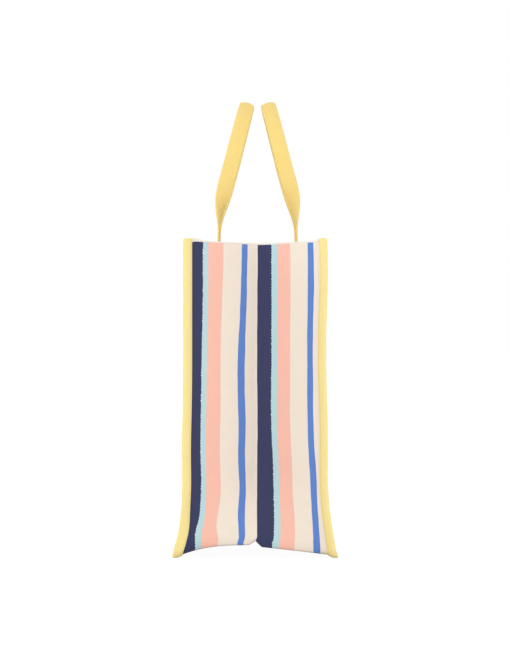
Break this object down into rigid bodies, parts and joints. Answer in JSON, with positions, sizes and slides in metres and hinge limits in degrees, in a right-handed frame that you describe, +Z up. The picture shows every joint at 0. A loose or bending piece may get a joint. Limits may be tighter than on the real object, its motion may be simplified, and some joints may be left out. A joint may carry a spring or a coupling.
{
  "type": "tote bag",
  "caption": "Open striped canvas tote bag with creased side gussets, bound outward seams and two upright webbing handles that fold over at the hem.",
  "frame": {"origin": "on the standing surface, under the middle of the bag", "axes": "+X along the main panels towards the right gusset, +Y from the front panel to the back panel, +Z up"},
  "size_m": [0.3624, 0.2038, 0.5702],
  "materials": {
    "striped_canvas": "plain-woven cotton canvas, printed with irregular stripes in navy, pale blue, salmon, cream and blue",
    "undyed_canvas": "undyed plain-woven cotton canvas",
    "binding_tape": "yellow twill tape, folded and edge-stitched",
    "webbing": "yellow woven cotton webbing"
  },
  "bodies": {
    "bag": {"front_panel": "striped_canvas", "back_panel": "striped_canvas", "right_gusset": "striped_canvas", "left_gusset": "striped_canvas", "base_panel": "striped_canvas", "front_facing": "undyed_canvas", "back_facing": "undyed_canvas", "right_facing": "undyed_canvas", "left_facing": "undyed_canvas", "front_right_binding": "binding_tape", "front_left_binding": "binding_tape", "back_right_binding": "binding_tape", "back_left_binding": "binding_tape", "front_base_binding": "binding_tape", "back_base_binding": "binding_tape", "front_handle_ends": "webbing", "back_handle_ends": "webbing"},
    "front_handle_loop": {"front_handle": "webbing"},
    "back_handle_loop": {"back_handle": "webbing"}
  },
  "joints": [
    {"name": "front_handle_fold", "type": "hinge", "parent": "bag", "child": "front_handle_loop", "pos_m": [0, -0.04855, 0.389], "axis": [1, 0, 0], "range_deg": [-1, 170]},
    {"name": "back_handle_fold", "type": "hinge", "parent": "bag", "child": "back_handle_loop", "pos_m": [0, 0.05315, 0.389], "axis": [-1, 0, 0], "range_deg": [-1, 170]}
  ]
}
